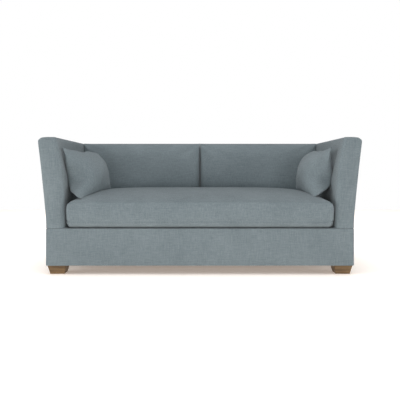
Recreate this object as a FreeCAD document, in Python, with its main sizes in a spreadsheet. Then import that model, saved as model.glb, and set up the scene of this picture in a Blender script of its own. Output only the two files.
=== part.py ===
import FreeCAD, Part
import math
import os
from types import SimpleNamespace

import Sketcher

# Loveseat with leaning track arms, a tight two-panel back, one loose bench cushion and two pillows.
# Millimetres. +Z is up, the front faces -Y, and the origin is on the floor under the middle.

doc = FreeCAD.newDocument("loveseat")

# Driving dimensions
DRIVING = {
    "base_width": 1739,              # outside of the base band
    "overall_depth": 860,            # cushion front to outside back
    "overall_height": 777,           # top of the arms and of the back
    "base_height": 210,              # base band
    "foot_height": 48,
    "foot_top_width": 105,
    "foot_floor_width": 80,
    "foot_inset": 7,                 # foot top behind the face of the base band
    "foot_edge_radius": 3,
    "glide_height": 2,
    "glide_radius": 14,
    "bolt_radius": 4,
    "bolt_reach": 30,                # bolt depth in the foot
    "bolt_end_gap": 1,               # hole past the end of a bolt
    "thread_gap": 0.1,               # radial clearance of a bolt in its hole
    "nut_barrel_radius": 5.2,
    "nut_barrel_depth": 12,
    "nut_flange_radius": 11,
    "nut_flange_thickness": 1.5,
    "block_leg": 110,                # corner glue block
    "block_height": 60,
    "border_thickness": 12,          # padded base band
    "border_corner_radius": 9,
    "border_edge_radius": 4,
    "rail_thickness": 28,
    "brace_thickness": 25,
    "brace_height": 120,
    "dust_cover_thickness": 1.5,
    "cleat_width": 25,
    "cleat_height": 38,
    "deck_drop": 22,                 # cleat top below the top of the base band
    "deck_cloth_thickness": 1.5,
    "deck_pad_thickness": 17,
    "wire_diameter": 3.8,
    "spring_run": 34,                # straight part between two turns of a spring
    "clip_length": 24,
    "clip_width": 12,
    "clip_thickness": 1.4,
    "clip_gap": 0.2,
    "arm_thickness": 104,
    "arm_flare": 48,                 # how far the arm leans out at its top
    "arm_kick_height": 58,           # where the lean starts, above the base band
    "arm_bend_run": 40,              # length of the bend on each side of that
    "arm_crown": 8,                  # rise of the arm top in its middle
    "arm_edge_radius": 22,
    "facing_edge_radius": 18,
    "arm_pad_thickness": 26,
    "arm_outside_thickness": 8,
    "facing_depth": 40,
    "ply_thickness": 18,
    "arm_rail_height": 45,
    "arm_bolt_depth": 60,            # bolt depth in the side rail
    "bolt_head_radius": 7,
    "bolt_head_height": 5,
    "top_pad_thickness": 32,         # padding over the arm tops and the back
    "back_foot_thickness": 230,
    "back_top_thickness": 158,
    "back_pad_thickness": 60,
    "back_edge_radius": 34,
    "back_seam_radius": 14,
    "back_seam_gap": 0.6,
    "back_side_gap": 2,              # back to arm
    "back_rail_depth": 32,
    "back_rail_height": 45,
    "rib_thickness": 25,
    "outside_back_thickness": 10,
    "cushion_proud": 14,             # cushion front ahead of the base band
    "cushion_side_gap": 3,
    "cushion_back_gap": 18,
    "cushion_rest_gap": 0.3,
    "cushion_boxing": 148,
    "cushion_crown": 68,
    "cushion_end_crown": 4,          # what is left of the crown at both ends
    "cushion_front_bulge": 12,
    "cushion_end_round": 26,
    "core_skin": 17,                 # wrap above, below and behind the foam core
    "core_end_skin": 51,             # wrap at its ends and its front
    "zip_length": 1240,
    "zip_tape_width": 30,
    "zip_tape_thickness": 1.2,
    "zip_chain_width": 5,
    "zip_chain_height": 2.4,
    "zip_gap": 0.3,
    "slider_length": 11,
    "slider_wall": 1.5,
    "bail_radius": 0.9,
    "pull_length": 15,
    "pull_width": 6,
    "pull_thickness": 1.4,
    "pillow_width": 350,
    "pillow_height": 317,
    "pillow_face_swell": 74,         # towards the seat
    "pillow_back_swell": 115,        # towards the arm that it leans on
    "pillow_squash": 76,             # rear lower corner pushed up by the seat's crown
    "pillow_dent": 9,                # and the middle of the lower edge
    "pillow_wall": 11,               # cover and wadding on the faces of the insert
    "pillow_edge_wall": 16.5,        # and along its edges
    "left_pillow_setback": 196,      # pillow middle behind the base band's face
    "left_pillow_from_arm": 129.5,   # and from the inside of the arm
    "left_pillow_rise": 112.5,       # and above the seat under it
    "right_pillow_setback": 231,
    "right_pillow_from_arm": 122.5,
    "right_pillow_rise": 114.5,
}

sheet = doc.addObject("Spreadsheet::Sheet", "sizes")
for row, (alias, number) in enumerate(DRIVING.items(), start=1):
    sheet.set(f"A{row}", alias.replace("_", " "))
    sheet.set(f"B{row}", str(number))
    sheet.setAlias(f"B{row}", alias)
doc.recompute()


class Size:
    """A length that knows its number and the sheet expression that gives it."""

    def __init__(self, text, number):
        self.text = text
        self.number = number

    def __add__(self, other):
        other = as_size(other)
        return Size(f"({self.text} + {other.text})", self.number + other.number)

    def __sub__(self, other):
        other = as_size(other)
        return Size(f"({self.text} - {other.text})", self.number - other.number)

    def __mul__(self, other):
        other = as_size(other)
        return Size(f"({self.text} * {other.text})", self.number * other.number)

    def __truediv__(self, other):
        other = as_size(other)
        return Size(f"({self.text} / {other.text})", self.number / other.number)

    def __rsub__(self, other):
        return as_size(other) - self

    def __neg__(self):
        return as_size(0) - self

    __radd__ = __add__
    __rmul__ = __mul__

    def root(self):
        return Size(f"sqrt({self.text})", math.sqrt(self.number))


def as_size(amount):
    return amount if isinstance(amount, Size) else Size(str(amount), float(amount))


def smaller(first, second):
    return Size(f"min({first.text}; {second.text})", min(first.number, second.number))


S = SimpleNamespace(**{alias: Size(f"sizes.{alias}", float(sheet.get(alias))) for alias in DRIVING})

# Planes and levels that the pieces share
half_base = S.base_width / 2
front = S.cushion_proud - S.overall_depth / 2
rear = S.overall_depth / 2
base_floor = S.glide_height + S.foot_height
frame_floor = base_floor + S.dust_cover_thickness
base_top = base_floor + S.base_height
top = S.overall_height
pad_underside = top - S.top_pad_thickness
frame_half = half_base - S.border_thickness
side_rail_inside = frame_half - S.rail_thickness
front_rail_back = front + S.border_thickness + S.rail_thickness
rear_rail_front = rear - S.border_thickness - S.rail_thickness
back_plane = rear - S.outside_back_thickness
facing_back = front + S.facing_depth

# A cut runs this far past the piece it cuts
CUT_OVER = 1
# The largest share of a pad's thickness that the rounding of its edge takes
ROUND_SHARE = 0.65


# Helpers
def bind(thing, path, amount):
    thing.setExpression(path, as_size(amount).text)


def start_body(label):
    body = doc.addObject("PartDesign::Body", label)
    body.Label = label
    return body


def start_sketch(body, role, name):
    plane = next(item for item in body.Origin.OriginFeatures if item.Role == role)
    sketch = body.newObject("Sketcher::SketchObject", f"{body.Name}_{name}")
    sketch.AttachmentSupport = [(plane, "")]
    sketch.MapMode = "FlatFace"
    return sketch


def fix_point(sketch, geometry, end, across, up):
    for kind, amount in (("DistanceX", across), ("DistanceY", up)):
        rule = sketch.addConstraint(Sketcher.Constraint(kind, -1, 1, geometry, end, amount.number))
        bind(sketch, f"Constraints[{rule}]", amount)


def arc_between(start, end, bend):
    """The arc from start to end whose centre lies to the left of a positive bend."""
    chord = end - start
    half = chord.Length / 2
    left = FreeCAD.Vector(-chord.y, chord.x, 0).normalize()
    reach = math.sqrt(bend * bend - half * half) * math.copysign(1, bend)
    centre = (start + end) / 2 + left * reach
    angles = [math.atan2(point.y - centre.y, point.x - centre.x) for point in (start, end)]
    if bend < 0:
        angles.reverse()
    circle = Part.Circle(centre, FreeCAD.Vector(0, 0, 1), abs(bend))
    return Part.ArcOfCircle(circle, angles[0], angles[1])


def outline(body, role, corners, name="outline"):
    """A closed sketch. A corner is (across, up), or (across, up, bend) where an arc follows it."""
    sketch = start_sketch(body, role, name)
    corners = [tuple(as_size(amount) for amount in corner) for corner in corners]
    points = [FreeCAD.Vector(corner[0].number, corner[1].number, 0) for corner in corners]
    ends = []
    for index, corner in enumerate(corners):
        start = points[index]
        end = points[(index + 1) % len(points)]
        if len(corner) == 3:
            bend = corner[2]
            sketch.addGeometry(arc_between(start, end, bend.number))
            ends.append((1, 2) if bend.number > 0 else (2, 1))
        else:
            sketch.addGeometry(Part.LineSegment(start, end))
            ends.append((1, 2))
    for index, corner in enumerate(corners):
        after = (index + 1) % len(corners)
        sketch.addConstraint(Sketcher.Constraint("Coincident", index, ends[index][1], after, ends[after][0]))
        fix_point(sketch, index, ends[index][0], corner[0], corner[1])
        if len(corner) == 3:
            bend = corner[2] if corner[2].number > 0 else -corner[2]
            rule = sketch.addConstraint(Sketcher.Constraint("Radius", index, bend.number))
            bind(sketch, f"Constraints[{rule}]", bend)
    return sketch


def pad(body, sketch, length, backwards=False):
    feature = body.newObject("PartDesign::Pad", f"{body.Name}_pad")
    feature.Profile = sketch
    bind(feature, "Length", length)
    feature.Reversed = backwards
    return feature


def cut_through(body, sketch):
    feature = body.newObject("PartDesign::Pocket", f"{body.Name}_cut")
    feature.Profile = sketch
    feature.Type = "ThroughAll"
    feature.Midplane = True
    return feature


def drill(body, centres, radius, level, depth):
    """Round holes from a level downwards."""
    sketch = start_sketch(body, "XY_Plane", "holes")
    bind(sketch, "AttachmentOffset.Base.z", level)
    for index, (across, along) in enumerate(centres):
        middle = FreeCAD.Vector(across.number, along.number, 0)
        sketch.addGeometry(Part.Circle(middle, FreeCAD.Vector(0, 0, 1), radius.number))
        fix_point(sketch, index, 3, across, along)
        rule = sketch.addConstraint(Sketcher.Constraint("Radius", index, radius.number))
        bind(sketch, f"Constraints[{rule}]", radius)
    feature = body.newObject("PartDesign::Pocket", f"{body.Name}_bore")
    feature.Profile = sketch
    bind(feature, "Length", depth)
    return feature


def round_edges(body, radius, wanted, name):
    """Fillet the edges whose bounding box passes the wanted test."""
    doc.recompute()
    base = body.Tip
    names = [f"Edge{number}" for number, edge in enumerate(base.Shape.Edges, 1) if wanted(edge.BoundBox)]
    feature = body.newObject("PartDesign::Fillet", f"{body.Name}_{name}")
    feature.Base = (base, names)
    bind(feature, "Radius", radius)
    return feature


def near(first, second):
    return abs(first - as_size(second).number) < 0.02


def at_level(low, high, level):
    return near(low, level) and near(high, level)


def board(label, across, along, upright):
    """A straight board between two limits each way."""
    body = start_body(label)
    corners = [(across[0], along[0]), (across[1], along[0]), (across[1], along[1]), (across[0], along[1])]
    pad(body, outline(body, "XY_Plane", corners), upright[1] - upright[0])
    bind(body, "Placement.Base.z", upright[0])
    return body


def front_slice(label, corners, along):
    """A piece whose outline is seen from the front, between two depths."""
    body = start_body(label)
    pad(body, outline(body, "XZ_Plane", corners), along[1] - along[0], backwards=True)
    bind(body, "Placement.Base.y", along[0])
    return body


def side_slice(label, corners, across):
    """A piece whose outline is seen from the side, between two places across."""
    body = start_body(label)
    pad(body, outline(body, "YZ_Plane", corners), across[1] - across[0])
    bind(body, "Placement.Base.x", across[0])
    return body


def mirrored(label, source):
    feature = doc.addObject("Part::Mirroring", label)
    feature.Label = label
    feature.Source = source
    feature.Normal = FreeCAD.Vector(1, 0, 0)
    return feature


def solid(label, shape):
    feature = doc.addObject("Part::Feature", label)
    feature.Label = label
    feature.Shape = shape
    return feature


def group(label, shapes):
    return solid(label, Part.makeCompound(shapes))


def turned(points, place):
    """A solid of revolution about the upright line through place, from (radius, height) points."""
    corners = [FreeCAD.Vector(radius, 0, height) for radius, height in points]
    face = Part.Face(Part.makePolygon(corners + corners[:1]))
    body = face.revolve(FreeCAD.Vector(0, 0, 0), FreeCAD.Vector(0, 0, 1), 360)
    body.translate(FreeCAD.Vector(*place))
    return body


parts = []

# Feet: a block that widens upwards, drilled for its bolt
foot_across = half_base - S.foot_inset - S.foot_top_width / 2
foot_front = front + S.foot_inset + S.foot_top_width / 2
foot_rear = rear - S.foot_inset - S.foot_top_width / 2
FEET = {
    "front_left_foot": (-foot_across, foot_front),
    "front_right_foot": (foot_across, foot_front),
    "rear_left_foot": (-foot_across, foot_rear),
    "rear_right_foot": (foot_across, foot_rear),
}
foot_spots = [(across.number, along.number) for across, along in FEET.values()]
foot_half = S.foot_floor_width / 2
foot_spread = (S.foot_top_width - S.foot_floor_width) / 2 / S.foot_height


def foot(label, across, along):
    body = start_body(label)
    half = foot_half
    floor_square = outline(body, "XY_Plane", [(-half, -half), (half, -half), (half, half), (-half, half)])
    block = pad(body, floor_square, S.foot_height)
    block.setExpression("TaperAngle", f"atan({foot_spread.text})")
    rising_edge = lambda box: near(box.ZLength, S.foot_height)
    round_edges(body, S.foot_edge_radius, rising_edge, "edges")
    centre = [(as_size(0), as_size(0))]
    drill(body, centre, S.bolt_radius + S.thread_gap, S.foot_height, S.bolt_reach + S.bolt_end_gap)
    for axis, amount in zip("xyz", (across, along, S.glide_height)):
        bind(body, f"Placement.Base.{axis}", amount)
    return body


for label, (across, along) in FEET.items():
    parts.append(foot(label, across, along))

glide_edge = S.glide_height.number / 2
glide_profile = [
    (0, 0),
    (S.glide_radius.number - glide_edge, 0),
    (S.glide_radius.number, glide_edge),
    (S.glide_radius.number, S.glide_height.number),
    (0, S.glide_height.number),
]
parts.append(group("foot_glides", [turned(glide_profile, (x, y, 0)) for x, y in foot_spots]))

# Foot bolts and the tee nuts they screw into
block_top = frame_floor + S.block_height
bolt_foot = base_floor - S.bolt_reach
bolt_top = block_top + S.nut_flange_thickness + S.bolt_radius
bolt_length = (bolt_top - bolt_foot).number
bolt_tip = S.bolt_radius.number / 4
bolt_profile = [
    (0, 0),
    (S.bolt_radius.number - bolt_tip, 0),
    (S.bolt_radius.number, bolt_tip),
    (S.bolt_radius.number, bolt_length - bolt_tip),
    (S.bolt_radius.number - bolt_tip, bolt_length),
    (0, bolt_length),
]
parts.append(group("foot_bolts", [turned(bolt_profile, (x, y, bolt_foot.number)) for x, y in foot_spots]))

nut_bore = (S.bolt_radius + S.thread_gap).number
nut_profile = [
    (nut_bore, -S.nut_barrel_depth.number),
    (S.nut_barrel_radius.number, -S.nut_barrel_depth.number),
    (S.nut_barrel_radius.number, 0),
    (S.nut_flange_radius.number, 0),
    (S.nut_flange_radius.number, S.nut_flange_thickness.number),
    (nut_bore, S.nut_flange_thickness.number),
]
parts.append(group("tee_nuts", [turned(nut_profile, (x, y, block_top.number)) for x, y in foot_spots]))

# Corner glue blocks: a triangle in each corner of the frame, bored for the tee nut
block_bore = (S.nut_barrel_radius + S.thread_gap).number
spring_rail_front = rear - S.back_foot_thickness + S.back_pad_thickness
spring_rail_back = spring_rail_front + S.rail_thickness
block_reach = smaller(S.block_leg, rear_rail_front - spring_rail_back)


def corner_block(corner, spot):
    leg = block_reach.number
    height = S.block_height.number
    floor = frame_floor.number
    across = -math.copysign(leg, corner[0])
    along = -math.copysign(leg, corner[1])
    points = [
        FreeCAD.Vector(corner[0], corner[1], floor),
        FreeCAD.Vector(corner[0] + across, corner[1], floor),
        FreeCAD.Vector(corner[0], corner[1] + along, floor),
    ]
    wedge = Part.Face(Part.makePolygon(points + points[:1])).extrude(FreeCAD.Vector(0, 0, height))
    return wedge.cut(Part.makeCylinder(block_bore, height, FreeCAD.Vector(spot[0], spot[1], floor)))


frame_corners = [
    (side * side_rail_inside.number, along.number)
    for along in (front_rail_back, rear_rail_front)
    for side in (-1, 1)
]
parts.append(group("corner_blocks", [corner_block(*pair) for pair in zip(frame_corners, foot_spots)]))

# Seat frame
rail_up = (frame_floor, base_top)
full_across = (-frame_half, frame_half)
inside_across = (-side_rail_inside, side_rail_inside)
parts.append(board("front_rail", full_across, (front + S.border_thickness, front_rail_back), rail_up))
parts.append(board("rear_rail", full_across, (rear_rail_front, rear - S.border_thickness), rail_up))
parts.append(board("spring_rail", inside_across, (spring_rail_front, spring_rail_back), rail_up))

arm_bolt_across = side_rail_inside + S.rail_thickness / 2
side_rail_length = rear_rail_front - front_rail_back
arm_bolt_spots = [
    (arm_bolt_across, front_rail_back + side_rail_length / 6),
    (arm_bolt_across, front_rail_back + side_rail_length * 2 / 3),
]
arm_bolt_hole = S.bolt_radius + S.thread_gap
right_side_rail = board(
    "right_side_rail", (side_rail_inside, frame_half), (front_rail_back, rear_rail_front), rail_up
)
arm_bolt_bore = S.arm_bolt_depth + S.bolt_end_gap
drill(right_side_rail, arm_bolt_spots, arm_bolt_hole, base_top - frame_floor, arm_bolt_bore)
parts.append(right_side_rail)
parts.append(mirrored("left_side_rail", right_side_rail))

brace_across = side_rail_inside / 3
right_brace = board(
    "right_cross_brace",
    (brace_across - S.brace_thickness / 2, brace_across + S.brace_thickness / 2),
    (front_rail_back, spring_rail_front),
    (frame_floor, frame_floor + S.brace_height),
)
parts.append(right_brace)
parts.append(mirrored("left_cross_brace", right_brace))

cleat_top = base_top - S.deck_drop
cleat_up = (cleat_top - S.cleat_height, cleat_top)
front_cleat_along = (front_rail_back, front_rail_back + S.cleat_width)
rear_cleat_along = (spring_rail_front - S.cleat_width, spring_rail_front)
parts.append(board("front_cleat", inside_across, front_cleat_along, cleat_up))
parts.append(board("rear_cleat", inside_across, rear_cleat_along, cleat_up))

# Sinuous springs: straight runs joined by half turns, each spring one unbroken tube
SEAT_SPRINGS = 5
SEAT_RUNS = 11
BACK_SPRINGS = 4
BACK_RUNS = 7
wire_radius = S.wire_diameter.number / 2


def sinuous(start, step, runs):
    """A spring from the middle of its first run, with one step from each run to the next."""
    side = FreeCAD.Vector(S.spring_run.number / 2, 0, 0)
    swing = FreeCAD.Vector(step.Length / 2, 0, 0)
    edges = []
    for run in range(runs):
        sign = 1 if run % 2 == 0 else -1
        middle = start + step * run
        leave = middle + side * sign
        edges.append(Part.LineSegment(middle - side * sign, leave).toShape())
        if run < runs - 1:
            edges.append(Part.Arc(leave, leave + step / 2 + swing * sign, leave + step).toShape())
    spine = Part.Wire(edges)
    section = Part.Wire(Part.makeCircle(wire_radius, start - side, FreeCAD.Vector(1, 0, 0)))
    return spine.makePipeShell([section], True, False)


def spread(count, half_width):
    """Places of a row that is even about the middle."""
    spacing = 2 * half_width / count
    return [spacing * (index - (count - 1) / 2) for index in range(count)]


seat_wire_level = cleat_top.number + wire_radius
seat_clip_front = (front_rail_back + S.cleat_width / 2).number
seat_clip_rear = (spring_rail_front - S.cleat_width / 2).number
inner = half_base - S.arm_thickness
seat_step = FreeCAD.Vector(0, (seat_clip_rear - seat_clip_front) / (SEAT_RUNS - 1), 0)
seat_rows = spread(SEAT_SPRINGS, inner.number)
seat_springs = [
    sinuous(FreeCAD.Vector(across, seat_clip_front, seat_wire_level), seat_step, SEAT_RUNS)
    for across in seat_rows
]
parts.append(group("seat_springs", seat_springs))

# Spring clips: a folded strap over the end run of the wire
clip_height = S.wire_diameter.number + S.clip_gap.number + S.clip_thickness.number


def clip(foot_middle):
    length = S.clip_length.number
    width = S.clip_width.number
    slot = S.wire_diameter.number + 2 * S.clip_gap.number
    strap = Part.makeBox(length, width, clip_height, FreeCAD.Vector(-length / 2, -width / 2, 0))
    slot_height = S.wire_diameter.number + S.clip_gap.number
    groove = Part.makeBox(length, slot, slot_height, FreeCAD.Vector(-length / 2, -slot / 2, 0))
    shape = strap.cut(groove)
    shape.translate(foot_middle)
    return shape


seat_clips = [
    clip(FreeCAD.Vector(across, along, cleat_top.number))
    for across in seat_rows
    for along in (seat_clip_front, seat_clip_rear)
]
parts.append(group("seat_spring_clips", seat_clips))

# Deck cloth, deck pad and dust cover
back_foot = rear - S.back_foot_thickness
cloth_floor = cleat_top + S.wire_diameter + S.clip_gap + S.clip_thickness
deck_floor = cloth_floor + S.deck_cloth_thickness
deck_top = deck_floor + S.deck_pad_thickness
deck_cloth_along = (front_rail_back, spring_rail_front)
parts.append(board("deck_cloth", inside_across, deck_cloth_along, (cloth_floor, deck_floor)))
deck_half = inner - S.cushion_side_gap
parts.append(board(
    "deck_pad",
    (-deck_half, deck_half),
    (front_rail_back, back_foot - S.back_side_gap),
    (deck_floor, deck_top),
))
dust_cover = board(
    "dust_cover",
    full_across,
    (front + S.border_thickness, rear - S.border_thickness),
    (base_floor, frame_floor),
)
drill(
    dust_cover,
    list(FEET.values()),
    S.nut_barrel_radius + S.thread_gap,
    S.dust_cover_thickness,
    S.dust_cover_thickness,
)
parts.append(dust_cover)

# Base band: four padded borders
border_up = (base_floor, base_top)


def end_border(label, along, face, inside):
    """A border across the whole width, rounded at its outer corners and along its lower edge."""
    body = board(label, (-half_base, half_base), along, border_up)
    corner = lambda box: near(box.ZLength, S.base_height) and at_level(box.YMin, box.YMax, face)
    round_edges(body, S.border_corner_radius, corner, "corners")
    hem = lambda box: at_level(box.ZMin, box.ZMax, 0) and not at_level(box.YMin, box.YMax, inside)
    round_edges(body, S.border_edge_radius, hem, "lower_edge")
    return body


front_inside = front + S.border_thickness
rear_inside = rear - S.border_thickness
parts.append(end_border("front_border", (front, front_inside), front, front_inside))
parts.append(end_border("rear_border", (rear_inside, rear), rear, rear_inside))
right_border = board(
    "right_border",
    (frame_half, half_base),
    (front_inside, rear_inside),
    border_up,
)
long_edge = lambda box: box.YLength > S.base_height.number and at_level(box.XMin, box.XMax, half_base)
lower_edge = lambda box: long_edge(box) and at_level(box.ZMin, box.ZMax, 0)
round_edges(right_border, S.border_edge_radius, lower_edge, "lower_edge")
parts.append(right_border)
parts.append(mirrored("left_border", right_border))

# Arms: every layer is bounded by the same leaning curve, moved sideways by its depth in the arm
corner_level = top - S.arm_crown
kick = base_top + S.arm_kick_height
lean = S.arm_flare / (corner_level - kick)
lean_length = (lean * lean + 1).root()
bend_start = kick - S.arm_bend_run
bend_end = kick + S.arm_bend_run / lean_length
bend_shift = S.arm_bend_run * lean / lean_length
bend_radius = S.arm_bend_run * lean / (lean_length - 1)


def arm_across(depth, level):
    """Where the leaning part of the curve at a depth inside the arm crosses a level."""
    return half_base - depth + lean * (level - kick)


def rising(depth, level):
    """Corners of the curve from the base band up to a level."""
    foot_corner = half_base - depth
    return [
        (foot_corner, base_top),
        (foot_corner, bend_start, -bend_radius),
        (foot_corner + bend_shift, bend_end),
        (arm_across(depth, level), level),
    ]


def falling(depth, level):
    """Corners of the same curve from a level down to the base band."""
    foot_corner = half_base - depth
    return [
        (arm_across(depth, level), level),
        (foot_corner + bend_shift, bend_end, bend_radius),
        (foot_corner, bend_start),
        (foot_corner, base_top),
    ]


outer_skin = S.arm_outside_thickness
pad_back = S.arm_thickness - S.arm_pad_thickness
crown_radius = (S.arm_thickness * S.arm_thickness / 4 + S.arm_crown * S.arm_crown) / (S.arm_crown * 2)
arm_round = smaller(S.arm_edge_radius, S.top_pad_thickness * ROUND_SHARE)


def crowned(corners):
    """The corners with an arc over the arm top after the last one."""
    return corners[:-1] + [corners[-1] + (crown_radius,)]


def round_arm_top(body):
    edges = [arm_across(depth, corner_level).number for depth in (as_size(0), S.arm_thickness)]
    lengthwise = lambda box: at_level(box.ZMin, box.ZMax, corner_level) and not near(box.YLength, 0)
    wanted = lambda box: lengthwise(box) and any(at_level(box.XMin, box.XMax, edge) for edge in edges)
    round_edges(body, arm_round, wanted, "top_edges")


facing_corners = crowned(rising(as_size(0), corner_level)) + falling(S.arm_thickness, corner_level)
right_facing = front_slice("right_arm_facing", facing_corners, (front, facing_back))
round_arm_top(right_facing)
front_edge = lambda box: at_level(box.YMin, box.YMax, 0) and not near(box.ZMax, base_top)
round_edges(right_facing, smaller(S.facing_edge_radius, arm_round), front_edge, "front_edges")

pad_corners = (
    [(arm_across(as_size(0), pad_underside), pad_underside)]
    + crowned([(arm_across(as_size(0), corner_level), corner_level)])
    + falling(S.arm_thickness, corner_level)
    + rising(pad_back, pad_underside)
)
right_arm_pad = front_slice("right_arm_pad", pad_corners, (facing_back, rear))
tuck_start = back_plane - facing_back
tuck_end = rear - facing_back + CUT_OVER
tuck = [
    (tuck_start, base_top - CUT_OVER),
    (tuck_end, base_top - CUT_OVER),
    (tuck_end, pad_underside),
    (tuck_start, pad_underside),
]
cut_through(right_arm_pad, outline(right_arm_pad, "YZ_Plane", tuck, "tuck"))
round_arm_top(right_arm_pad)

outside_corners = rising(as_size(0), pad_underside) + falling(outer_skin, pad_underside)
arm_long = (facing_back, back_plane)
right_outside = front_slice("right_arm_outside", outside_corners, arm_long)

# Arm frame: two plywood ends, a top rail and a sole board bolted to the side rail
hollow_corners = rising(outer_skin, pad_underside) + falling(pad_back, pad_underside)
front_panel_back = facing_back + S.ply_thickness
rear_panel_front = back_plane - S.ply_thickness
right_front_panel = front_slice("right_arm_front_panel", hollow_corners, (facing_back, front_panel_back))
right_rear_panel = front_slice("right_arm_rear_panel", hollow_corners, (rear_panel_front, back_plane))
rail_level = pad_underside - S.arm_rail_height
rail_corners = [
    (arm_across(outer_skin, rail_level), rail_level),
    (arm_across(outer_skin, pad_underside), pad_underside),
    (arm_across(pad_back, pad_underside), pad_underside),
    (arm_across(pad_back, rail_level), rail_level),
]
right_top_rail = front_slice("right_arm_top_rail", rail_corners, (front_panel_back, rear_panel_front))
right_sole = board(
    "right_arm_sole",
    (half_base - pad_back, half_base - outer_skin),
    (front_panel_back, rear_panel_front),
    (base_top, bend_start),
)
sole_height = bend_start - base_top
drill(right_sole, arm_bolt_spots, arm_bolt_hole, sole_height, sole_height)
for piece in (
    right_facing,
    right_arm_pad,
    right_outside,
    right_front_panel,
    right_rear_panel,
    right_top_rail,
    right_sole,
):
    parts.append(piece)
    parts.append(mirrored(piece.Label.replace("right", "left"), piece))

arm_bolt_profile = [
    (0, -S.arm_bolt_depth.number - sole_height.number),
    (S.bolt_radius.number, -S.arm_bolt_depth.number - sole_height.number),
    (S.bolt_radius.number, 0),
    (S.bolt_head_radius.number, 0),
    (S.bolt_head_radius.number, S.bolt_head_height.number),
    (0, S.bolt_head_height.number),
]
arm_bolts = [
    turned(arm_bolt_profile, (side * across.number, along.number, bend_start.number))
    for across, along in arm_bolt_spots
    for side in (-1, 1)
]
parts.append(group("arm_bolts", arm_bolts))

# Back frame: rails along the front of the hollow, ribs behind them
back_lean = (S.back_foot_thickness - S.back_top_thickness) / (top - base_top)


def back_face(level):
    """Depth of the inside back at a level."""
    return back_foot + back_lean * (level - base_top)


def back_rail(label, low, high, half_width):
    start = S.back_pad_thickness
    end = start + S.back_rail_depth
    corners = [
        (back_face(low) + start, low),
        (back_face(low) + end, low),
        (back_face(high) + end, high),
        (back_face(high) + start, high),
    ]
    return side_slice(label, corners, (-half_width, half_width))


bottom_rail_top = base_top + S.back_rail_height
top_rail_floor = pad_underside - S.back_rail_height
bottom_half = inner - S.cushion_side_gap
top_half = arm_across(S.arm_thickness, top_rail_floor) - S.cushion_side_gap
parts.append(back_rail("back_bottom_rail", base_top, bottom_rail_top, bottom_half))
parts.append(back_rail("back_top_rail", top_rail_floor, pad_underside, top_half))

rib_start = S.back_pad_thickness + S.back_rail_depth
rib_corners = [
    (back_face(base_top) + rib_start, base_top),
    (back_plane, base_top),
    (back_plane, pad_underside),
    (back_face(pad_underside) + rib_start, pad_underside),
]
parts.append(side_slice("back_centre_rib", rib_corners, (-S.rib_thickness / 2, S.rib_thickness / 2)))
right_rib = side_slice("back_right_rib", rib_corners, (bottom_half - S.rib_thickness, bottom_half))
parts.append(right_rib)
parts.append(mirrored("back_left_rib", right_rib))

# Back springs, upright between the two rails
rail_middle = S.back_pad_thickness.number + S.back_rail_depth.number / 2
back_rise = FreeCAD.Vector(0, back_lean.number, 1)
bottom_level = bottom_rail_top.number
top_level = top_rail_floor.number
wire_rise = wire_radius * math.sqrt(1 + back_lean.number ** 2)
low_rail = FreeCAD.Vector(0, back_face(bottom_rail_top).number + rail_middle, bottom_level)
high_rail = FreeCAD.Vector(0, back_face(top_rail_floor).number + rail_middle, top_level)
low_end = low_rail + back_rise * wire_rise
high_end = high_rail - back_rise * wire_rise
back_step = (high_end - low_end) / (BACK_RUNS - 1)
back_rows = spread(BACK_SPRINGS, bottom_half.number)
back_springs = [
    sinuous(low_end + FreeCAD.Vector(across, 0, 0), back_step, BACK_RUNS)
    for across in back_rows
]
parts.append(group("back_springs", back_springs))

back_clips = []
for across in back_rows:
    back_clips.append(clip(FreeCAD.Vector(across, low_end.y, bottom_level)))
    hung = clip(FreeCAD.Vector(0, 0, 0))
    hung.rotate(FreeCAD.Vector(0, 0, 0), FreeCAD.Vector(1, 0, 0), 180)
    hung.translate(FreeCAD.Vector(across, high_end.y, top_level))
    back_clips.append(hung)
parts.append(group("back_spring_clips", back_clips))

# Back pads: two panels that hook over the top rail, rounded along the top and down the seam
seam_half = S.back_seam_gap / 2
hook_corners = [
    (back_foot, base_top),
    (back_foot + S.back_pad_thickness, base_top),
    (back_face(pad_underside) + S.back_pad_thickness, pad_underside),
    (rear, pad_underside),
    (rear, top),
    (back_face(top), top),
]
arm_face_depth = S.arm_thickness + S.back_side_gap
pad_reach = arm_across(arm_face_depth, top) + S.arm_edge_radius
right_back_pad = side_slice("back_right_pad", hook_corners, (seam_half, pad_reach))
beyond = pad_reach - seam_half + CUT_OVER
over_top = top + CUT_OVER
under_base = base_top - CUT_OVER
arm_side = [(across - seam_half, *rest) for across, *rest in rising(arm_face_depth, over_top)]
arm_side[0] = (arm_side[0][0], under_base)
arm_clearance = arm_side + [(beyond, over_top), (beyond, under_base)]
cut_through(right_back_pad, outline(right_back_pad, "XZ_Plane", arm_clearance, "arm_side"))
top_front = lambda box: at_level(box.ZMin, box.ZMax, top) and at_level(box.YMin, box.YMax, back_face(top))
back_round = smaller(S.back_edge_radius, S.back_pad_thickness * ROUND_SHARE)
round_edges(right_back_pad, back_round, top_front, "top_edge")


def down_the_seam(box):
    """The edge down the front of the seam, over the rounded top included."""
    on_seam = at_level(box.XMin, box.XMax, 0)
    at_front = box.YMax < (back_face(top) + back_round).number + CUT_OVER
    above_base = box.ZMax > base_top.number + CUT_OVER
    behind = near(box.YMin, back_foot + S.back_pad_thickness)
    return on_seam and at_front and above_base and not behind


round_edges(right_back_pad, S.back_seam_radius, down_the_seam, "seam_edge")
parts.append(right_back_pad)
parts.append(mirrored("back_left_pad", right_back_pad))

# Outside back: one panel over the whole width, with the lean of both arms
right_half = rising(as_size(0), pad_underside)
left_half = [
    (-arm_across(as_size(0), pad_underside), pad_underside),
    (-half_base - bend_shift, bend_end, bend_radius),
    (-half_base, bend_start),
    (-half_base, base_top),
]
parts.append(front_slice("outside_back", right_half + left_half, (back_plane, rear)))

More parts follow.
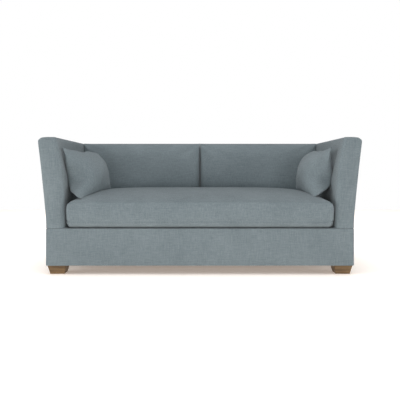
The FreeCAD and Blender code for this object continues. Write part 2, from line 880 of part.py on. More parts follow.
# Seat cushion: slices with a bulged front and a crowned top, lofted from end to end
cushion_floor = (deck_top + S.cushion_rest_gap).number
cushion_front = -S.overall_depth.number / 2
cushion_rear = (back_foot - S.cushion_back_gap).number
cushion_half = (inner - S.cushion_side_gap).number
SLICES = (-1, -0.965, -0.9, -0.78, -0.5, 0, 0.5, 0.78, 0.9, 0.965, 1)
CROWN_POWER = 6
DRAW_POWER = 22


def crown_at(share):
    """Rise of the cushion's top at a share of the half width."""
    return S.cushion_end_crown.number + S.cushion_crown.number * (1 - abs(share) ** CROWN_POWER)


def cushion_slice(share):
    """An upright slice at a share of the half width; the ends are drawn in all round."""
    across = share * cushion_half
    draw = S.cushion_end_round.number * abs(share) ** DRAW_POWER
    low = cushion_floor + draw
    high = cushion_floor + S.cushion_boxing.number - draw
    bulge = S.cushion_front_bulge.number
    face = cushion_front + bulge + draw
    back = cushion_rear
    crest = high + crown_at(share)
    spot = lambda along, level: FreeCAD.Vector(across, along, level)
    edges = [
        Part.Arc(spot(face, low), spot(face - bulge, (low + high) / 2), spot(face, high)).toShape(),
        Part.Arc(spot(face, high), spot((face + back) / 2, crest), spot(back, high)).toShape(),
        Part.LineSegment(spot(back, high), spot(back, low)).toShape(),
        Part.LineSegment(spot(back, low), spot(face, low)).toShape(),
    ]
    return Part.Wire(edges)


cushion_form = Part.makeLoft([cushion_slice(share) for share in SLICES], True, False)
skin = S.core_skin.number
core_half = cushion_half - S.core_end_skin.number
core_front = cushion_front + S.core_end_skin.number
core_top = cushion_floor + S.cushion_boxing.number - skin
core_low = FreeCAD.Vector(-core_half, core_front, cushion_floor + skin)
core_high = FreeCAD.Vector(core_half, cushion_rear - skin, core_top)
core_size = core_high - core_low
core = Part.makeBox(core_size.x, core_size.y, core_size.z, core_low)
parts.append(solid("seat_cushion_cover", cushion_form.cut(core)))
parts.append(solid("seat_foam_core", core))

# Zip on the rear boxing: tape with its chain, a slider round the chain, a pull on the slider's bail
tape_half = S.zip_tape_width / 2
chain_half = S.zip_chain_width / 2
chain_top = S.zip_tape_thickness + S.zip_chain_height
tape_corners = [
    (0, -tape_half),
    (S.zip_tape_thickness, -tape_half),
    (S.zip_tape_thickness, -chain_half),
    (chain_top, -chain_half),
    (chain_top, chain_half),
    (S.zip_tape_thickness, chain_half),
    (S.zip_tape_thickness, tape_half),
    (0, tape_half),
]
zip_tape = side_slice("zip_tape", tape_corners, (-S.zip_length / 2, S.zip_length / 2))
zip_along = back_foot - S.cushion_back_gap
zip_up = deck_top + S.cushion_rest_gap + S.cushion_boxing / 2
bind(zip_tape, "Placement.Base.y", zip_along)
bind(zip_tape, "Placement.Base.z", zip_up)
parts.append(zip_tape)

slider_half = chain_half + S.zip_gap + S.slider_wall
slider_low = S.zip_tape_thickness + S.zip_gap
groove_top = chain_top + S.zip_gap
slider_top = groove_top + S.slider_wall
groove_half = chain_half + S.zip_gap
slider_corners = [
    (slider_low, -slider_half),
    (slider_low, -groove_half),
    (groove_top, -groove_half),
    (groove_top, groove_half),
    (slider_low, groove_half),
    (slider_low, slider_half),
    (slider_top, slider_half),
    (slider_top, -slider_half),
]
slider_end = S.zip_length / 2 - S.slider_length
slider_block = side_slice("slider_block", slider_corners, (slider_end - S.slider_length, slider_end))
bind(slider_block, "Placement.Base.y", zip_along)
bind(slider_block, "Placement.Base.z", zip_up)
doc.recompute()
eye_radius = (S.bail_radius + S.zip_gap + S.pull_thickness / 2).number
bail_across = (slider_end - S.slider_length / 2).number
bail_along = (zip_along + slider_top).number + eye_radius + S.zip_gap.number
bail_up = zip_up.number
post = S.slider_wall.number
bail_half = slider_half.number
bail = Part.makeCylinder(
    S.bail_radius.number,
    2 * bail_half,
    FreeCAD.Vector(bail_across, bail_along, bail_up - bail_half),
)
post_start = (zip_along + slider_top).number
post_reach = bail_along + S.bail_radius.number - post_start
shape = slider_block.Shape.fuse(bail)
for low in (bail_up - bail_half, bail_up + bail_half - post):
    post_foot = FreeCAD.Vector(bail_across - post, post_start, low)
    shape = shape.fuse(Part.makeBox(2 * post, post_reach, post, post_foot))
parts.append(solid("zip_slider", shape.removeSplitter()))

eye_half = bail_half - post - S.zip_gap.number
pull_half = min(S.pull_width.number / 2, eye_half)
eye_foot = FreeCAD.Vector(bail_across, bail_along, bail_up - pull_half)
eye = Part.makeCylinder(eye_radius, 2 * pull_half, eye_foot)
tab_foot = FreeCAD.Vector(bail_across, bail_along - S.pull_thickness.number / 2, bail_up - pull_half)
tab = Part.makeBox(S.pull_length.number, S.pull_thickness.number, 2 * pull_half, tab_foot)
hole = Part.makeCylinder(S.bail_radius.number + S.zip_gap.number, 2 * pull_half, eye_foot)
parts.append(solid("zip_pull", eye.fuse(tab).cut(hole).removeSplitter()))

# Throw pillows: lens slices lofted along the pillow, pinched at both ends
PILLOW_SHARES = (-1, -0.9, -0.68, -0.35, 0, 0.35, 0.68, 0.9, 1)
PINCH = 0.07
FULLNESS_POWER = 0.7
DRAWN_IN = 0.07
PILLOW_TURNS = {"left": (-23.6, -24.9, -4.1), "right": (9.5, 21.9, -4)}


def pillow_form(inset, wall, sign):
    """A pillow standing in the YZ plane, inside its outer form by an inset and a wall.

    The sign is that of the side where its arm is.
    """
    width = S.pillow_width.number - 2 * inset
    height = S.pillow_height.number - 2 * inset
    swells = [-sign * (S.pillow_face_swell.number - wall), sign * (S.pillow_back_swell.number - wall)]
    wires = []
    for share in PILLOW_SHARES:
        swell = 1 - share * share
        fullness = PINCH + (1 - PINCH) * swell ** FULLNESS_POWER
        along = share * width / 2
        drawn = DRAWN_IN * height / 2 * swell
        upper = height / 2 - drawn
        pushed = S.pillow_squash.number * ((1 + share) / 2) ** 2 + S.pillow_dent.number * swell
        lower = -height / 2 + drawn + pushed
        middle = (upper + lower) / 2
        foot_end = FreeCAD.Vector(0, along, lower)
        top_end = FreeCAD.Vector(0, along, upper)
        crests = [FreeCAD.Vector(swell_depth * fullness, along, middle) for swell_depth in swells]
        face = Part.Arc(foot_end, crests[0], top_end).toShape()
        behind = Part.Arc(top_end, crests[1], foot_end).toShape()
        wires.append(Part.Wire([face, behind]))
    return Part.makeLoft(wires, True, False)


def seat_level(across, along):
    """Level of the cushion's top at a place on it."""
    share = across / cushion_half
    middle = (cushion_front + S.cushion_front_bulge.number + cushion_rear) / 2
    from_middle = (along - middle) / (cushion_rear - middle)
    return cushion_floor + S.cushion_boxing.number + crown_at(share) * (1 - from_middle ** 2)


def pillow_place(side, sign):
    """The middle of a pillow: above the seat and in from the arm by its own distances."""
    setback = getattr(S, f"{side}_pillow_setback")
    from_arm = getattr(S, f"{side}_pillow_from_arm")
    rise = getattr(S, f"{side}_pillow_rise")
    along = (front + setback).number
    seat = seat_level((inner - from_arm).number, along)
    level = seat + rise.number
    across = arm_across(S.arm_thickness, as_size(level)) - from_arm
    return FreeCAD.Vector(sign * across.number, along, level)


for side, sign in (("left", -1), ("right", 1)):
    place = FreeCAD.Placement(pillow_place(side, sign), FreeCAD.Rotation(*PILLOW_TURNS[side]))
    insert_form = pillow_form(S.pillow_edge_wall.number, S.pillow_wall.number, sign)
    cover_form = pillow_form(0, 0, sign).cut(insert_form)
    for name, form in (("cover", cover_form), ("insert", insert_form)):
        pillow = solid(f"{side}_pillow_{name}", form)
        pillow.Placement = place
        parts.append(pillow)

# Check every piece and write it
doc.recompute()
os.makedirs("parts", exist_ok=True)
for piece in parts:
    troubled = [word for word in piece.State if word in ("Invalid", "Error")]
    if troubled or piece.Shape.isNull() or not piece.Shape.isValid():
        raise RuntimeError(f"{piece.Label} did not build: {piece.State}")
    piece.Shape.exportStep(f"parts/{piece.Label}.step")
print(f"{len(parts)} pieces, {sum(len(piece.Shape.Solids) for piece in parts)} solids")
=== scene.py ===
# %% [markdown]
# # A loveseat with leaning arms
#
# This lesson dresses a loveseat whose frame is already modelled. The frame file holds the feet, the
# rails, the springs and a plain solid for every padded piece. Here the padded pieces get their cloth,
# their crowns and their seams, every surface gets a finish, and the whole is lit as in a studio.

# %% Load the frame
import math

import bmesh
import bpy
from mathutils import Matrix, Vector, noise
from mathutils.bvhtree import BVHTree


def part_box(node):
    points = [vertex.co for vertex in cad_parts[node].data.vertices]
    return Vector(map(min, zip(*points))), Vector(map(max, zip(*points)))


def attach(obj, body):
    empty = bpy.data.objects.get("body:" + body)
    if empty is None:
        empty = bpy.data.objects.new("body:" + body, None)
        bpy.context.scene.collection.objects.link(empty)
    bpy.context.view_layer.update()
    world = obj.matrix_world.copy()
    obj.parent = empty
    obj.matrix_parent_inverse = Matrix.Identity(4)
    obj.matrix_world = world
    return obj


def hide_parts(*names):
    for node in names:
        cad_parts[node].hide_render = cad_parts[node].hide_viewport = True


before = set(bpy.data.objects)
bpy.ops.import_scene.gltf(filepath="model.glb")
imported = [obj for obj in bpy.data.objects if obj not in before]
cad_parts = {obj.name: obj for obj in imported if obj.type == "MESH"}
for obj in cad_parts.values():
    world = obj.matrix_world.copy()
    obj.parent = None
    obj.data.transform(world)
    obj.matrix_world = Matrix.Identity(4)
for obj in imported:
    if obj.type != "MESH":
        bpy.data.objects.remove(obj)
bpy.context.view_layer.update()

# %% [markdown]
# ## Camera
#
# The photograph was taken level, a little under three metres from the front of the arms, with the
# picture shifted down instead of the camera being tilted. That keeps all upright lines upright. The
# focal length comes from how fast the arms get smaller towards the back, and the camera's height from
# the row where level surfaces are seen edge on.

# %% Camera
PHOTO_SIDE = 400
FOCAL_PIXELS = 521
HORIZON_ROW = 171
CAMERA_PLACE = (0, -3.352, 0.5846)

camera_data = bpy.data.cameras.new("camera")
camera_data.lens = FOCAL_PIXELS * camera_data.sensor_width / PHOTO_SIDE
camera_data.shift_y = (HORIZON_ROW - PHOTO_SIDE / 2) / PHOTO_SIDE
camera = bpy.data.objects.new("camera", camera_data)
camera.location = CAMERA_PLACE
camera.rotation_euler = (math.pi / 2, 0, 0)
bpy.context.scene.collection.objects.link(camera)
bpy.context.scene.camera = camera
print("camera lens", round(camera_data.lens, 1), "mm")

# %% [markdown]
# ## Writing shaders as sums
#
# A finish is a small tree of nodes. Wiring nodes by hand hides the idea, so a wrapped socket takes part
# in plain sums here, and every step of a sum adds one Math node. Colours and directions don't go
# through Math nodes, because those would turn them grey.

# %% A socket that takes part in sums
class Value:
    """The output of a shader node, for use in sums."""

    def __init__(self, finish, socket):
        self.finish = finish
        self.socket = socket

    def step(self, operation, first, second):
        return self.finish.node("ShaderNodeMath", {"operation": operation}, {0: first, 1: second})

    def __add__(self, other):
        return self.step("ADD", self, other)

    def __sub__(self, other):
        return self.step("SUBTRACT", self, other)

    def __rsub__(self, other):
        return self.step("SUBTRACT", other, self)

    def __mul__(self, other):
        return self.step("MULTIPLY", self, other)

    __radd__ = __add__
    __rmul__ = __mul__


class Finish:
    """A material and the nodes behind it."""

    def __init__(self, name, **constants):
        self.material = bpy.data.materials.new(name)
        self.material.use_nodes = True
        self.tree = self.material.node_tree
        self.shader = self.tree.nodes["Principled BSDF"]
        for word, amount in constants.items():
            self.shader.inputs[word.replace("_", " ")].default_value = amount
        self.place = self.node("ShaderNodeTexCoord", {}, {}, "Object")

    def feed(self, socket, amount):
        if isinstance(amount, Value):
            self.tree.links.new(amount.socket, socket)
        else:
            socket.default_value = amount

    def node(self, kind, settings, sockets, output=0):
        """Any node: its settings first, then the values or links of its sockets."""
        made = self.tree.nodes.new(kind)
        for word, setting in settings.items():
            setattr(made, word, setting)
        for word, amount in sockets.items():
            self.feed(made.inputs[word], amount)
        return Value(self, made.outputs[output])

    def stretched(self, shares):
        """The place on the piece, with each axis scaled by its own share."""
        return self.node("ShaderNodeVectorMath", {"operation": "MULTIPLY"}, {0: self.place, 1: shares})

    def cloud(self, shares, detail=2.0):
        """Noise between 0 and 1 that is as fine along each axis as the shares say."""
        sockets = {"Vector": self.stretched(shares), "Scale": 1, "Detail": detail}
        return self.node("ShaderNodeTexNoise", {}, sockets)

    def blend(self, share, first, second):
        """A colour between two colours; 6, 7 and 2 are the colour sockets of a Mix node."""
        settings = {"data_type": "RGBA"}
        return self.node("ShaderNodeMix", settings, {"Factor": share, 6: first, 7: second}, 2)

    def spread(self, amount, low, high):
        """The amount stretched so that low becomes 0 and high becomes 1."""
        return self.node("ShaderNodeMapRange", {}, {"Value": amount, "From Min": low, "From Max": high})

    def relief(self, height, strength, distance):
        sockets = {"Height": height, "Strength": strength, "Distance": distance}
        self.feed(self.shader.inputs["Normal"], self.node("ShaderNodeBump", {}, sockets))

    def colour(self, amount):
        self.feed(self.shader.inputs["Base Color"], amount)

    def roughness(self, amount):
        self.feed(self.shader.inputs["Roughness"], amount)


def shade(red, green, blue):
    """A linear colour from the 0 to 255 numbers of a paint chart."""
    parts = [number / 255 for number in (red, green, blue)]
    linear = [part / 12.92 if part <= 0.04045 else ((part + 0.055) / 1.055) ** 2.4 for part in parts]
    return (*linear, 1)


def darker(colour):
    """A colour at four fifths of its brightness."""
    return [part * 0.8 for part in colour[:3]] + [1]


print("a mid grey is", round(shade(128, 128, 128)[0], 3), "in linear light")

# %% [markdown]
# ## Upholstery cloth
#
# The cover is a heathered linen weave in blue grey. From across a room a weave like this shows as short
# streaks along both thread directions, where thicker slubs of yarn are a little lighter or darker. The
# streaks are noise that is long along one axis and fine along the other two, once for each axis, so the
# same cloth works on a front, a top or a side. Closer up, crossed waves give the thread crossings.

# %% Upholstery cloth
SLUB_LONG = 22
SLUB_FINE = 240
SLUB_HEIGHT = 2
PATCHES = (5, 5, 5)
PATCH_SHARE = 0.2
TONE_RANGE = (0.38, 0.62)
THREAD_PITCH = 0.0032
THREAD_HEIGHT = 0.35
CLOTH_DARK = shade(94, 105, 110)
CLOTH_LIGHT = shade(116, 127, 131)


def weave(finish):
    """Crossed threads: waves along the three axes, multiplied in pairs."""
    turns = 2 * math.pi / THREAD_PITCH
    axes = finish.node("ShaderNodeSeparateXYZ", {}, {0: finish.stretched((turns, turns, turns))})
    parts = axes.socket.node.outputs
    sine = {"operation": "SINE"}
    waves = [finish.node("ShaderNodeMath", sine, {0: Value(finish, part)}) for part in parts]
    return waves[0] * waves[1] + waves[1] * waves[2] + waves[2] * waves[0]


def slubs(finish, long, fine):
    """Streaks along each of the three axes, added up."""
    along_x = finish.cloud((long, fine, fine))
    along_y = finish.cloud((fine, long, fine))
    along_z = finish.cloud((fine, fine, long))
    return (along_x + along_y + along_z) * (1 / 3)


def upholstery():
    sheen = {"Sheen_Weight": 0.12, "Sheen_Roughness": 0.6}
    finish = Finish("upholstery", Roughness=0.92, Specular_IOR_Level=0.2, **sheen)
    streaks = slubs(finish, SLUB_LONG, SLUB_FINE)
    patches = finish.cloud(PATCHES, detail=3.0)
    mixed = streaks * (1 - PATCH_SHARE) + patches * PATCH_SHARE
    tone = finish.spread(mixed, *TONE_RANGE)
    finish.colour(finish.blend(tone, CLOTH_DARK, CLOTH_LIGHT))
    height = weave(finish) * THREAD_HEIGHT + streaks * SLUB_HEIGHT
    finish.relief(height, strength=0.35, distance=0.0008)
    return finish.material


CLOTH = upholstery()
print("made", CLOTH.name)

# %% [markdown]
# ## Soft blocks
#
# Nearly every padded piece starts as a box. A cube is cut by planes into quads, closer together where an
# edge will be rounded, and then its edges are drawn onto an arc. That keeps clean rows of quads along
# every seam, which a bevel would not, and clean rows are what cloth and subdivision like best.

# %% Soft blocks
# Rows across a rounded edge, as shares of its reach, then two lengths that are as good as none
ROUND_STEPS = (0.1, 0.423, 0.732, 1.0)
WELD = 1e-5
TINY = 1e-6


def lines_between(low, high, reaches, spacing):
    """Places of the cuts along one axis: close together near a rounded edge, even in between."""
    near = max(reach[0] for reach in reaches)
    far = max(reach[1] for reach in reaches)
    count = max(1, round((high - far - low - near) / spacing))
    places = [low + near + (high - far - low - near) * step / count for step in range(count + 1)]
    for reach in reaches:
        places += [low + reach[0] * share for share in ROUND_STEPS]
        places += [high - reach[1] * share for share in ROUND_STEPS]
    return sorted({round(place, 5) for place in places if low + WELD < place < high - WELD})


def cut_across(mesh, axis, place):
    """Cut all faces by the plane at a place along an axis."""
    spot = Vector((0, 0, 0))
    spot[axis] = place
    normal = Vector((0, 0, 0))
    normal[axis] = 1
    geometry = mesh.verts[:] + mesh.edges[:] + mesh.faces[:]
    bmesh.ops.bisect_plane(mesh, geom=geometry, dist=TINY, plane_co=spot, plane_no=normal)


def block(low, high, rounds, spacing, extra=((), (), ()), on_seam=None):
    """A box of quads with rounded edges. Each round of reaches is for edges that are rounded alike."""
    mesh = bmesh.new()
    bmesh.ops.create_cube(mesh, size=1)
    bmesh.ops.scale(mesh, vec=Vector(high) - Vector(low), verts=mesh.verts)
    bmesh.ops.translate(mesh, vec=(Vector(high) + Vector(low)) / 2, verts=mesh.verts)
    for axis in range(3):
        reaches = [alike[axis] for alike in rounds]
        places = lines_between(low[axis], high[axis], reaches, spacing[axis])
        for place in places + list(extra[axis]):
            cut_across(mesh, axis, place)
    if on_seam:
        mark_seams(mesh, on_seam)
    for reaches in rounds:
        round_edges(mesh, low, high, reaches)
    return mesh


def edge_share(place, low, high, reach):
    """How far a place is into the rounding of the low or the high face, with its centre and its reach."""
    if reach[0] > 0 and place < low + reach[0]:
        return (place - low - reach[0]) / reach[0], low + reach[0], reach[0]
    if reach[1] > 0 and place > high - reach[1]:
        return (place - high + reach[1]) / reach[1], high - reach[1], reach[1]
    return 0.0, place, 0.0


def round_edges(mesh, low, high, reaches):
    """Draw the edges of a block onto arcs; a reach of 0 leaves the edges of that face sharp."""
    for vert in mesh.verts:
        parts = [edge_share(vert.co[axis], low[axis], high[axis], reaches[axis]) for axis in range(3)]
        length = math.sqrt(sum(share * share for share, centre, reach in parts))
        if length > 0:
            drawn = max(abs(share) for share, centre, reach in parts) / length
            vert.co = [centre + reach * share * drawn for share, centre, reach in parts]


def ripple(mesh, amount, scale):
    """A slight unevenness along the surface's own direction, as padding under cloth has."""
    mesh.normal_update()
    for vert in mesh.verts:
        vert.co += vert.normal * (amount * noise.noise(vert.co * scale))


def mark_seams(mesh, on_seam):
    """Remember which vertices lie on a seam, before the block is shaped."""
    layer = mesh.verts.layers.int.new("seam")
    for vert in mesh.verts:
        vert[layer] = int(on_seam(vert.co))


def seam_points(piece):
    """The numbers of the vertices on a seam; the marks themselves are taken off."""
    marks = piece.data.attributes["seam"]
    numbers = [number for number, mark in enumerate(marks.data) if mark.value]
    piece.data.attributes.remove(marks)
    return numbers


def tidy_mesh(mesh):
    """Weld the points that meet, drop edges without length, and turn all faces outwards."""
    bmesh.ops.remove_doubles(mesh, verts=mesh.verts, dist=WELD)
    bmesh.ops.dissolve_degenerate(mesh, edges=mesh.edges, dist=TINY)
    bmesh.ops.recalc_face_normals(mesh, faces=mesh.faces)
    if mesh.calc_volume(signed=True) < 0:
        bmesh.ops.reverse_faces(mesh, faces=mesh.faces)


def make_piece(name, mesh, finish):
    """An object from a mesh, smooth shaded, with its finish."""
    tidy_mesh(mesh)
    data = bpy.data.meshes.new(name)
    mesh.to_mesh(data)
    mesh.free()
    data.polygons.foreach_set("use_smooth", [True] * len(data.polygons))
    data.materials.append(finish)
    piece = bpy.data.objects.new(name, data)
    bpy.context.scene.collection.objects.link(piece)
    return piece


def subdivide(piece):
    smooth = piece.modifiers.new("smooth", "SUBSURF")
    smooth.levels = 1
    smooth.render_levels = 1


def settle(piece, body, slot, *nodes):
    """Let a piece ride on its body and stand for its plain solids."""
    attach(piece, body)
    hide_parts(*nodes)


print("a rounded edge gets", len(ROUND_STEPS), "rows")

# %% [markdown]
# ## Arms
#
# Each arm stands upright on the base and then leans outwards, so all its layers share one leaning
# curve. They are built upright, as easy boxes, and then shifted sideways by the curve at their height.
# The facing is the padded front, the pad runs up the inside and over the top, and the outside is a
# plain stretched panel. Facing and pad swell a little towards the seat where no cushion holds them in,
# and their top falls off towards the outside.

# %% Shared places
# Places that the frame gives
BASE_LOW, BASE_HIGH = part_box("front_border")
HALF_BASE = BASE_HIGH.x
FRONT = BASE_LOW.y
BASE_FLOOR = BASE_LOW.z
BASE_TOP = BASE_HIGH.z
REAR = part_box("rear_border")[1].y
BACK_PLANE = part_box("outside_back")[0].y
BACK_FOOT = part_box("back_right_pad")[0].y
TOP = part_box("back_right_pad")[1].z
FACING_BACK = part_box("right_arm_facing")[1].y
# The arm's leaning curve, its crown and its padding
ARM_THICKNESS = 0.104
ARM_CROWN = 0.008
ARM_FLARE = 0.048
KICK_RISE = 0.058
ARM_KICK = BASE_TOP + KICK_RISE
BEND_RUN = 0.04
CORNER_LEVEL = TOP - ARM_CROWN
PAD_OVERHANG = 0.032
PAD_UNDERSIDE = TOP - PAD_OVERHANG
LEAN = ARM_FLARE / (CORNER_LEVEL - ARM_KICK)
INNER = HALF_BASE - ARM_THICKNESS
INSIDE_BULGE = 0.014
BULGE_FOOT = 0.36
# Shared by several pieces: the rounding at a seam, and the short run in which an underside turns
SEAM = 0.003
FOLD = 0.001
SIDES = {"right": 1, "left": -1}


def lean_out(level):
    """How far the arm has leaned out at a level."""
    into_bend = level - ARM_KICK + BEND_RUN
    if into_bend <= 0:
        return 0.0
    if into_bend < 2 * BEND_RUN:
        return LEAN * into_bend ** 2 / (4 * BEND_RUN)
    return LEAN * (level - ARM_KICK)


def crown_arm(mesh):
    """Raise the arm's top, which is level on the inside and falls off towards the outside."""
    for vert in mesh.verts:
        outward = max(0.0, (vert.co.x - INNER) / ARM_THICKNESS * 2 - 1)
        share = max(0.0, (vert.co.z - PAD_UNDERSIDE) / (CORNER_LEVEL - PAD_UNDERSIDE))
        vert.co.z += ARM_CROWN * share * (1 - outward * outward)


def fill_inside(mesh):
    """Let the padding swell towards the seat above the cushion, most at the front and not at the back."""
    for vert in mesh.verts:
        inward = max(0.0, 1 - (vert.co.x - INNER) / ARM_THICKNESS)
        up = min(1.0, max(0.0, (vert.co.z - BULGE_FOOT) / (CORNER_LEVEL - BULGE_FOOT)))
        forward = min(1.0, max(0.0, (BACK_FOOT - vert.co.y) / (BACK_FOOT - FRONT)))
        swelling = math.sin(math.pi * up) * math.sin(math.pi / 2 * forward)
        vert.co.x -= INSIDE_BULGE * inward * inward * swelling


def lean_arm(mesh, side):
    """Shift a right arm's layer along the leaning curve, and turn it over for the left arm."""
    for vert in mesh.verts:
        vert.co.x = side * (vert.co.x + lean_out(vert.co.z))


print("arms lean out", round(1000 * lean_out(CORNER_LEVEL)), "mm")

# %% Arm facings
FACE_CROWN = 0.006
ARM_TOP_ROUND = ((0.010, 0.022), (0, 0), (0, 0.018))


def crown_front(mesh):
    """Let the upright edges of the arm's front fall back, so that its middle stands proud."""
    for vert in mesh.verts:
        across = (vert.co.x - INNER) / ARM_THICKNESS * 2 - 1
        share = (FACING_BACK - vert.co.y) / (FACING_BACK - FRONT)
        vert.co.y += FACE_CROWN * max(0.0, share) * across * across


def arm_facing(side):
    low = (INNER, FRONT, BASE_TOP)
    high = (HALF_BASE, FACING_BACK, CORNER_LEVEL)
    inner_upright = ((0.022, 0), (0.026, 0), (0, 0))
    top_front = ((0, 0), (0.018, 0), (0, 0.018))
    seams = ((0, 0.004), (0.004, 0.0015), (SEAM, 0))
    rounds = (inner_upright, ARM_TOP_ROUND, top_front, seams)
    mesh = block(low, high, rounds, spacing=(0.018, 0.02, 0.022))
    crown_arm(mesh)
    crown_front(mesh)
    ripple(mesh, amount=0.0012, scale=9)
    fill_inside(mesh)
    lean_arm(mesh, side)
    return mesh


for word, side in SIDES.items():
    facing = make_piece(f"{word}_arm_front", arm_facing(side), CLOTH)
    subdivide(facing)
    settle(facing, "frame", "upholstery", f"{word}_arm_facing")
    print(facing.name, len(facing.data.polygons), "faces")

# %% Arm pads
INSIDE_PAD = 0.026


def arm_pad(side):
    """A block, drawn back below its underside to the thin padding that lines the arm."""
    low = (INNER, FACING_BACK, BASE_TOP)
    high = (HALF_BASE, REAR, CORNER_LEVEL)
    seams = ((0, 0), (0.0015, 0.006), (SEAM, 0.006))
    extra = ((INNER + INSIDE_PAD,), (), (PAD_UNDERSIDE, PAD_UNDERSIDE - FOLD))
    mesh = block(low, high, (ARM_TOP_ROUND, seams), spacing=(0.018, 0.024, 0.022), extra=extra)
    for vert in mesh.verts:
        if vert.co.z < PAD_UNDERSIDE - FOLD / 2:
            vert.co.x = min(vert.co.x, INNER + INSIDE_PAD)
            vert.co.y = min(vert.co.y, BACK_PLANE)
    crown_arm(mesh)
    fill_inside(mesh)
    lean_arm(mesh, side)
    return mesh


for word, side in SIDES.items():
    pad = make_piece(f"{word}_arm_inside", arm_pad(side), CLOTH)
    subdivide(pad)
    settle(pad, "frame", "upholstery", f"{word}_arm_pad")
    print(pad.name, len(pad.data.polygons), "faces")

# %% Arm outsides
SIDE_PANEL = 0.008


def arm_outside(side):
    low = (HALF_BASE - SIDE_PANEL, FACING_BACK, BASE_TOP)
    high = (HALF_BASE, BACK_PLANE, PAD_UNDERSIDE)
    seams = ((0, SEAM), (SEAM, SEAM), (SEAM, SEAM))
    mesh = block(low, high, (seams,), spacing=(0.02, 0.03, 0.03))
    ripple(mesh, amount=0.0008, scale=7)
    lean_arm(mesh, side)
    return mesh


for word, side in SIDES.items():
    panel = make_piece(f"{word}_arm_side", arm_outside(side), CLOTH)
    subdivide(panel)
    settle(panel, "frame", "upholstery", f"{word}_arm_outside")
    print(panel.name, len(panel.data.polygons), "faces")

# %% [markdown]
# ## Base band
#
# Four flat, lightly padded borders cover the seat frame. The front and the rear run the whole width and
# turn the corners, and the sides meet them there. A narrow rounding along the top gives the thin dark
# seam under the arms.

# %% Base band
BORDER = 0.012
BORDER_EDGE = 0.005
BUTT_EDGE = 0.001
FULL_BORDERS = {
    "base_front": ("front_border", FRONT, FRONT + BORDER, (BORDER_EDGE, 0)),
    "base_rear": ("rear_border", REAR - BORDER, REAR, (0, BORDER_EDGE)),
}


def border_across(near, far, reach):
    low = (-HALF_BASE, near, BASE_FLOOR)
    high = (HALF_BASE, far, BASE_TOP)
    edges = ((BORDER_EDGE, BORDER_EDGE), reach, (BORDER_EDGE, SEAM))
    mesh = block(low, high, (edges,), spacing=(0.03, 0.02, 0.026))
    ripple(mesh, amount=0.0008, scale=6)
    return mesh


def border_along(side):
    low = (HALF_BASE - BORDER, FRONT + BORDER, BASE_FLOOR)
    high = (HALF_BASE, REAR - BORDER, BASE_TOP)
    edges = ((0, BORDER_EDGE), (BUTT_EDGE, BUTT_EDGE), (BORDER_EDGE, SEAM))
    mesh = block(low, high, (edges,), spacing=(0.02, 0.03, 0.026))
    ripple(mesh, amount=0.0008, scale=6)
    bmesh.ops.scale(mesh, vec=(side, 1, 1), verts=mesh.verts)
    return mesh


borders = [
    (make_piece(name, border_across(near, far, reach), CLOTH), node)
    for name, (node, near, far, reach) in FULL_BORDERS.items()
]
borders += [
    (make_piece(f"base_{word}", border_along(side), CLOTH), f"{word}_border")
    for word, side in SIDES.items()
]
for piece, node in borders:
    subdivide(piece)
    settle(piece, "frame", "upholstery", node)
    print(piece.name, len(piece.data.polygons), "faces")

# %% [markdown]
# ## Blowing a shape up
#
# A stuffed cover is cloth with pressure inside, held in by its seams. Blender's cloth can do just that:
# the seams are held still, air pushes from inside, and twenty frames later the panels have swelled
# between the seams as the real ones do. How far a point may go is limited, so that the piece keeps to
# its place.

# %% Blowing a shape up
SWELL_FRAMES = 20


def swell(piece, held, pressure, most):
    """Simulate air inside a piece, with the held vertices still and no point moving further than most."""
    rest = [vert.co.copy() for vert in piece.data.vertices]
    group = piece.vertex_groups.new(name="seams")
    group.add(held, 1.0, "REPLACE")
    cloth = piece.modifiers.new("cloth", "CLOTH")
    cloth.point_cache.frame_end = SWELL_FRAMES
    cloth.settings.quality = 6
    cloth.settings.mass = 0.3
    cloth.settings.tension_stiffness = 12
    cloth.settings.compression_stiffness = 12
    cloth.settings.bending_stiffness = 0.6
    cloth.settings.use_pressure = True
    cloth.settings.uniform_pressure_force = pressure
    cloth.settings.vertex_group_mass = group.name
    cloth.settings.effector_weights.gravity = 0
    for number in range(1, SWELL_FRAMES + 1):
        bpy.context.scene.frame_set(number)
    blown = piece.evaluated_get(bpy.context.evaluated_depsgraph_get()).data
    shifts = [after.co - before for after, before in zip(blown.vertices, rest)]
    piece.modifiers.remove(cloth)
    piece.vertex_groups.clear()
    bpy.context.scene.frame_set(1)
    for vert, before, shift in zip(piece.data.vertices, rest, shifts):
        if shift.length > 0:
            vert.co = before + shift * (most * math.tanh(shift.length / most) / shift.length)
    print(piece.name, "swelled up to", round(1000 * max(shift.length for shift in shifts), 1), "mm")


print("swelling takes", SWELL_FRAMES, "frames")

# %% [markdown]
# ## Back
#
# The tight back is two panels that hook over the top rail and meet in a seam pulled into the padding.
# Each is a block whose underside is tucked up behind, then sheared: its front leans back with the
# frame, and its outer end follows the arm. A low belly makes the face catch light above and turn dark
# just over the seat.

# %% Back pads
# How the panel leans back, how its centre seam is pulled in, and how its belly swells
BACK_SET = 0.072
BACK_LEAN = BACK_SET / (TOP - BASE_TOP)
LEAN_GAIN = 1.35
BACK_PAD = 0.06
BACK_GAP = 0.002
SEAM_HALF = 0.0004
PULL = 0.030
PULL_WIDTH = 0.011
PULL_RUN = 0.12
PULL_CUTS = (0.025, 0.045)
BELLY = 0.021
BELLY_FOOT = 0.42
BELLY_POWER = 0.6
# How near to an end, behind the face and above the base the cloth is held
HELD_END = 0.004
HELD_BEHIND = 0.05
HELD_BELOW = 0.02


def back_reach(level):
    """Where the back meets the arm at a level."""
    return INNER + lean_out(level) - BACK_GAP


